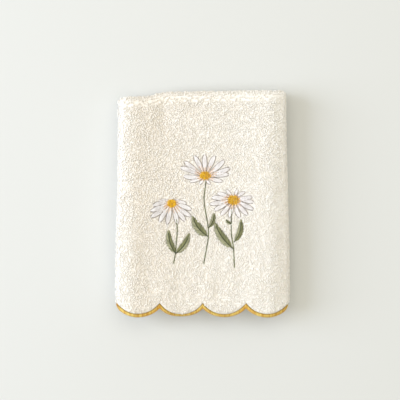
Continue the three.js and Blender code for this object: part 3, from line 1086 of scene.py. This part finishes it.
print("a leaf's width from base to tip:", np.round(leaf_half_width(np.linspace(0, 1, 5), 1), 2))

# %% Stems and middles
STEM_STITCH, STEM_GAP = 2.6, 0.5
STEM_SLANT = 0.18
STEM_POINTS = 40
STEM_SMOOTHINGS = 6
KNOTS_IN_DISC = 60
KNOT_LIFT = 0.35
GOLDEN_ANGLE = math.pi * (3 - math.sqrt(5))


def stem(points):
    """Running stitch along a smooth line past some points, each stitch a little slanted."""
    points = np.array(points, float)
    marks = np.linspace(0, 1, len(points))
    shares = np.linspace(0, 1, STEM_POINTS)
    line = np.stack([np.interp(shares, marks, points[:, i]) for i in (0, 1)], axis=-1)
    for _ in range(STEM_SMOOTHINGS):
        line[1:-1] = (line[:-2] + 2 * line[1:-1] + line[2:]) / 4
    length = line_lengths(line)[-1]
    found = []
    for begin in np.arange(0, 1 - STEM_STITCH / length, (STEM_STITCH + STEM_GAP) / length):
        cuts = np.array([begin, begin + STEM_STITCH / length])
        found += stitches_between(beside_line(line, cuts, np.array([-STEM_SLANT, STEM_SLANT])))
    return found


def knots_in_disc(centre, disc):
    """Places packed in an ellipse, each turned by the golden angle from the one before."""
    order = np.arange(KNOTS_IN_DISC) + 0.5
    turn = order * GOLDEN_ANGLE
    reach = np.sqrt(order / KNOTS_IN_DISC)
    x = centre[0] + disc[0] * reach * np.cos(turn)
    y = centre[1] + disc[1] * reach * np.sin(turn)
    return np.stack([x, y], axis=-1)


print(f"the golden angle is {math.degrees(GOLDEN_ANGLE):.1f} degrees")

# %% The three daisies
# Places in millimetres on the flat view of the front, from its middle.
DAISIES = [
    # middle of the disc, its half sizes, the petals' shift and reach, count, first turn
    ((3.6, 27.4), (5.4, 4.0), (0.0, 5.5), (23.5, 15.0), 13, 0.15),
    ((31.0, 3.7), (5.9, 4.6), (-1.0, -3.5), (21.5, 14.0), 14, 0.05),
    ((-28.7, 0.6), (4.4, 3.8), (-1.0, -8.5), (20.5, 12.5), 13, 0.2),
]
STEMS = [
    [(4.3, 21.7), (2.0, 3.4), (6.7, -22.7), (6.7, -33.3), (2.0, -58.4)],
    [(28.9, -2.9), (28.5, -27.5), (31.0, -42.9), (31.7, -61.2)],
    [(-24.1, -14.9), (-23.1, -26.0), (-24.4, -38.1), (-24.9, -47.7), (-27.2, -59.0)],
]
LEAVES = [
    # base, tip, bend, half width, and the darker half: 0 to the right of its line, 1 to the left
    ((6.3, -31.3), (-8.7, -12.1), 0.10, 3.5, 0),
    ((7.2, -22.7), (12.1, -9.2), -0.10, 1.9, 0),
    ((30.4, -42.9), (13.0, -18.3), 0.08, 3.3, 0),
    ((31.3, -36.7), (37.7, -15.2), -0.12, 2.4, 0),
    ((-24.9, -47.7), (-31.7, -25.3), 0.10, 2.7, 0),
    ((-24.9, -47.7), (-11.8, -28.5), -0.10, 2.7, 1),
    ((28.2, -18.8), (23.6, -15.0), 0.15, 1.4, 0),
]
petals, outlines, throats = [], [], []
for flower in DAISIES:
    for stitches, more in zip((petals, outlines, throats), daisy(*flower)):
        stitches += more
light_halves, dark_halves, midribs, stems = [], [], [], []
for *shape, darker_half in LEAVES:
    halves, midrib = leaf(*shape)
    dark_halves += halves[darker_half]
    light_halves += halves[1 - darker_half]
    midribs += midrib
for points in STEMS:
    stems += stem(points)
knots = np.concatenate([knots_in_disc(centre, disc) for centre, disc, *_ in DAISIES])
print(f"{len(petals)} petal, {len(outlines)} outline and {len(throats)} throat stitches")
print(f"{len(light_halves + dark_halves)} leaf stitches, {len(knots)} knots")

# %% Sewing them on
KNOT_SIZE = 1.3
KNOT_RUNS_LIKE = (0.3, 1.0, 0.0)
EMBROIDERY = [
    # name, stitches, thread, thread's width and loft, lift over the other stitches
    ("embroidered_petals", petals, white_thread, 0.95, 0.7, 0.0),
    ("embroidered_outlines", outlines, taupe_thread, 0.58, 0.55, 0.15),
    ("embroidered_throats", throats, amber_thread, 0.6, 0.55, 0.2),
    ("embroidered_leaves", light_halves, sage_thread, 0.8, 0.7, 0.0),
    ("embroidered_leaf_shades", dark_halves, moss_thread, 0.8, 0.7, 0.0),
    ("embroidered_midribs", midribs, olive_thread, 0.95, 0.65, 0.25),
    ("embroidered_stems", stems, stem_thread, 1.0, 0.75, 0.05),
]
sewn = []
for seed, (name, stitches, thread, width, loft, lift) in enumerate(EMBROIDERY, start=20):
    points = stitch_points(stitches, width, loft, SHEET_HALF + EMBROIDERY_LIFT + lift)
    sewn_piece(name, points, stitch_unit, thread, lean=(0.1, 0.0, 0.03), spread=0.04, seed=seed)
    for share in (-0.33, 0, 0.33):
        sewn += list(points["place"] + points["runs"] * share)
knot_height = SHEET_HALF + EMBROIDERY_LIFT + KNOT_LIFT
knot_place, knot_up = on_cloth(knots[:, 0], knots[:, 1], knot_height)
middles = {
    "place": knot_place,
    "facing": knot_up,
    "runs": np.cross(knot_up, np.array(KNOT_RUNS_LIKE)),
    "size": np.full((len(knots), 3), KNOT_SIZE * MM),
}
sewn_piece(
    "embroidered_middles",
    middles,
    knot_unit,
    yolk_thread,
    lean=(0.25, 0.25, 3.0),
    spread=0.15,
    seed=30,
)
sewn += list(knot_place)

# %% [markdown]
# ## The pile
#
# Terry loops stand on the cloth's right side wherever it shows: the front panel, the noses at the
# sides, and the folds at the back and under the hem. Hidden layers have none, which saves most of
# the work and keeps the layers' true distance. Loops are set on a jittered lattice along warp and
# weft. There are none under the embroidery, which presses them down, none by the cut edge,
# and none that would face the table.

# %% Where loops stand
# Real loops are finer, about 1.5 mm apart and half a millimetre thick, and wouldn't show in the
# render. These are drawn as coarse as they need to show.
LOOP_PITCH = (1.75, 2.0)
LOOP_SIZE = (1.4, 2.2, 1.35)
EMBROIDERY_CLEAR = 1.25
EDGE_CLEAR = 1.15
SELVEDGE_CLEAR = 1
FLOOR_CLEAR = 2
MOST_DOWNWARD = -0.75
JITTER_ACROSS, JITTER_ALONG = 0.3, 0.35
WARP_STEP = 0.5

pressed = KDTree(len(sewn))
for index, place in enumerate(sewn):
    pressed.insert(place, index)
pressed.balance()


def loop_points(u_from, u_to, s_from, s_to, seed):
    """Loops over a rectangle of the flat cloth."""
    draw_loops = np.random.default_rng(seed)
    pitch_u, pitch_s = LOOP_PITCH
    across_count = max(2, round((u_to - u_from) / pitch_u))
    along_count = max(2, round((s_to - s_from) / pitch_s))
    u, s = np.meshgrid(
        u_from + (np.arange(across_count) + 0.5) * (u_to - u_from) / across_count,
        s_from + (np.arange(along_count) + 0.5) * (s_to - s_from) / along_count,
    )
    every_other_row = np.arange(along_count)[:, None] % 2
    u = u + draw_loops.uniform(-JITTER_ACROSS, JITTER_ACROSS, u.shape) * pitch_u
    u = u + every_other_row * pitch_u / 2
    s = s + draw_loops.uniform(-JITTER_ALONG, JITTER_ALONG, s.shape) * pitch_s
    u, s = u.ravel(), s.ravel()
    inside = (s > hem_s(u) + EDGE_CLEAR) & (s < PLAIN_END - PLAIN_HEM_WIDTH)
    inside &= (u > INNER_SELVEDGE + SELVEDGE_CLEAR) & (u < BACK_SELVEDGE - SELVEDGE_CLEAR)
    u, s = u[inside], s[inside]
    place = folded(u, s, SHEET_HALF)
    facing = folded(u, s, SHEET_HALF + 1) - place
    warp = folded(u, s + WARP_STEP, SHEET_HALF) - place
    facing /= np.linalg.norm(facing, axis=1, keepdims=True)
    free = (place[:, 2] > FLOOR_CLEAR * MM) & (facing[:, 2] > MOST_DOWNWARD)
    for index in np.flatnonzero(free):
        over = place[index] + facing[index] * EMBROIDERY_LIFT * MM
        free[index] = pressed.find(over)[2] > EMBROIDERY_CLEAR * MM
    size = np.tile(np.array(LOOP_SIZE) * MM, (free.sum(), 1))
    return {"place": place[free], "facing": facing[free], "runs": warp[free], "size": size}


def joined(parts):
    """The points of several patches, as one set."""
    return {key: np.concatenate([part[key] for part in parts]) for key in parts[0]}


print(f"{len(sewn)} places where a stitch or knot presses the pile down")

# %% The pile's pieces
# Each is one or more patches of the cut cloth, as u from and to, then s from and to.
lowest = hem_s(half_scallop)
pile = {
    "terry_top_left": [(LEFT_CREASE_X, 0, lowest, RUN)],
    "terry_top_right": [(0, RIGHT_CREASE_X, lowest, RUN)],
    "terry_ends": [
        (LEFT_CREASE_X, RIGHT_CREASE_X, RUN, PERIOD),
        (LEFT_CREASE_X, RIGHT_CREASE_X, 3 * PERIOD - ARC, 3 * PERIOD),
        (RIGHT_END, BACK_SELVEDGE, 2 * PERIOD - ARC, 2 * PERIOD),
    ],
    "terry_sides": [
        (LEFT_START, LEFT_CREASE_X, lowest, PLAIN_END),
        (RIGHT_CREASE_X, RIGHT_END, lowest, PLAIN_END),
    ],
}
for seed, (name, patches) in enumerate(pile.items(), start=40):
    points = joined([loop_points(*patch, seed * 10 + i) for i, patch in enumerate(patches)])
    loops = sewn_piece(
        name, points, loop_unit, loop_cotton, lean=(0.38, 0.3, 0.75), spread=0.25, seed=seed
    )

for unit in units:
    bpy.data.objects.remove(unit)

# %% [markdown]
# ## Floor, light and camera
#
# The towel lies on a plain pale surface, seen from straight above by a long lens, so its sides
# hardly show. One large soft light stands on the left and a little to the back, cool as daylight.
# It gives the bright left edge, the shaded right edge and the soft shadow beyond it. A wide warm
# light overhead and an even fill stand for the white room, and keep the shadow pale.

# %% Floor
FLOOR_HALF = 3
corners = [(x * FLOOR_HALF, y * FLOOR_HALF, 0) for x, y in ((-1, -1), (1, -1), (1, 1), (-1, 1))]
floor = mesh_object("floor", corners, [(0, 1, 2, 3)], smooth=False)
floor_material, tree = new_material("Matt white backdrop paper")
paper = add_node(
    tree,
    "ShaderNodeBsdfPrincipled",
    {"Base Color": linear("#d6d8d7"), "Roughness": 0.9, "Specular IOR Level": 0.15},
)
finish_material(tree, paper.outputs["BSDF"])
floor.data.materials.append(floor_material)
print(f"floor: {2 * FLOOR_HALF} m square")

# %% Light
scene = bpy.context.scene
scene.view_settings.view_transform = "Standard"
world = bpy.data.worlds.new("White room")
scene.world = world
world.use_nodes = True
background = world.node_tree.nodes["Background"]
background.inputs["Color"].default_value = linear("#fffae8")
background.inputs["Strength"].default_value = 0.5


def area_light(name, place, size, energy, colour):
    """A rectangular light at a place, which faces the towel."""
    lamp = bpy.data.lights.new(name, "AREA")
    lamp.shape = "RECTANGLE"
    lamp.size, lamp.size_y = size
    lamp.energy = energy
    lamp.color = linear(colour)[:3]
    holder = bpy.data.objects.new(name, lamp)
    holder.location = place
    holder.rotation_euler = (-Vector(place)).to_track_quat("-Z", "Y").to_euler()
    scene.collection.objects.link(holder)
    print(f"{name}: {energy} W, {Vector(place).length:.2f} m away")


area_light("window_light", (-1.85, 0.15, 1.5), (1.3, 1.9), 43, "#e6eeff")
area_light("ceiling_light", (0.1, 0.4, 2.6), (2.4, 2.4), 37, "#fffaef")

# %% Camera
# The picture is square, and the towel's middle lies a few pixels off its own.
TOP_DISTANCE = 1.3
PICTURE_PIXELS = 400
MM_A_PIXEL = 0.9645
VIEW_SHIFT_PIXELS = (-3.2, 4.4)
FRAME_WIDTH = PICTURE_PIXELS * MM_A_PIXEL * MM
camera_data = bpy.data.cameras.new("camera")
camera_data.lens = camera_data.sensor_width * TOP_DISTANCE / FRAME_WIDTH
camera = bpy.data.objects.new("camera", camera_data)
shift_x, shift_y = (pixels * MM_A_PIXEL * MM for pixels in VIEW_SHIFT_PIXELS)
camera.location = (shift_x, shift_y, TOP_DISTANCE + STACK_HEIGHT * MM)
scene.collection.objects.link(camera)
scene.camera = camera
print(f"camera: {camera_data.lens:.0f} mm lens, {FRAME_WIDTH:.3f} m across the picture")
